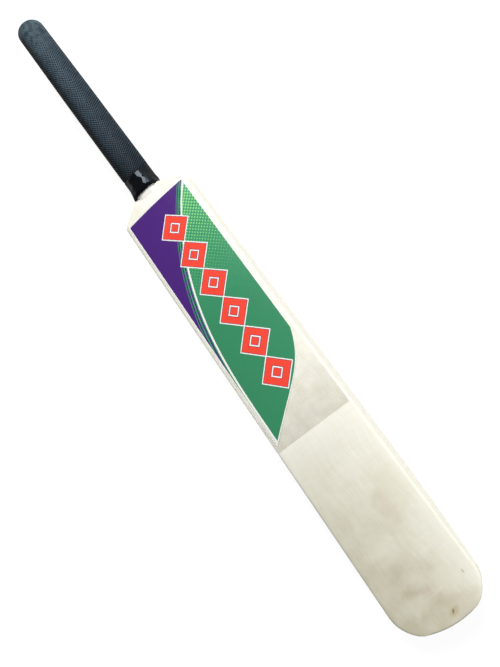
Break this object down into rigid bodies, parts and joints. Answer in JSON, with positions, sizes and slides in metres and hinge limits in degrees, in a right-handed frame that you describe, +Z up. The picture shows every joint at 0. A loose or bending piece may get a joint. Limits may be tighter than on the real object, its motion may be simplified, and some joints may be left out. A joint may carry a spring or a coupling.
{
  "type": "mini cricket bat",
  "caption": "Small cricket bat: crowned wooden blade with a ridged back, spliced cane handle with rubber springs, rubber grip, neck tape and a printed face sheet.",
  "frame": {"origin": "middle of the bottom of the bat's bounding box, on the surface that it lies on", "axes": "+Z is up, out of the blade's face; +Y runs along the bat from the toe to the handle; +X runs across the blade"},
  "size_m": [0.06, 0.524, 0.0433],
  "materials": {
    "blade_wood": "smooth sanded pale wood, unvarnished",
    "cane": "planed cane, glued",
    "spring_rubber": "matt rubber sheet",
    "twine": "wound linen thread",
    "grip_rubber": "matt black rubber with a fine diamond pattern",
    "tape": "glossy black plastic tape",
    "printed_film": "glossy printed self-adhesive film"
  },
  "bodies": {
    "root": {"blade": "blade_wood", "cane_slip_left": "cane", "cane_slip_middle": "cane", "cane_slip_right": "cane", "rubber_spring_left": "spring_rubber", "rubber_spring_right": "spring_rubber", "twine_whipping": "twine", "rubber_grip": "grip_rubber", "neck_tape": "tape", "face_film": "printed_film"}
  },
  "joints": []
}
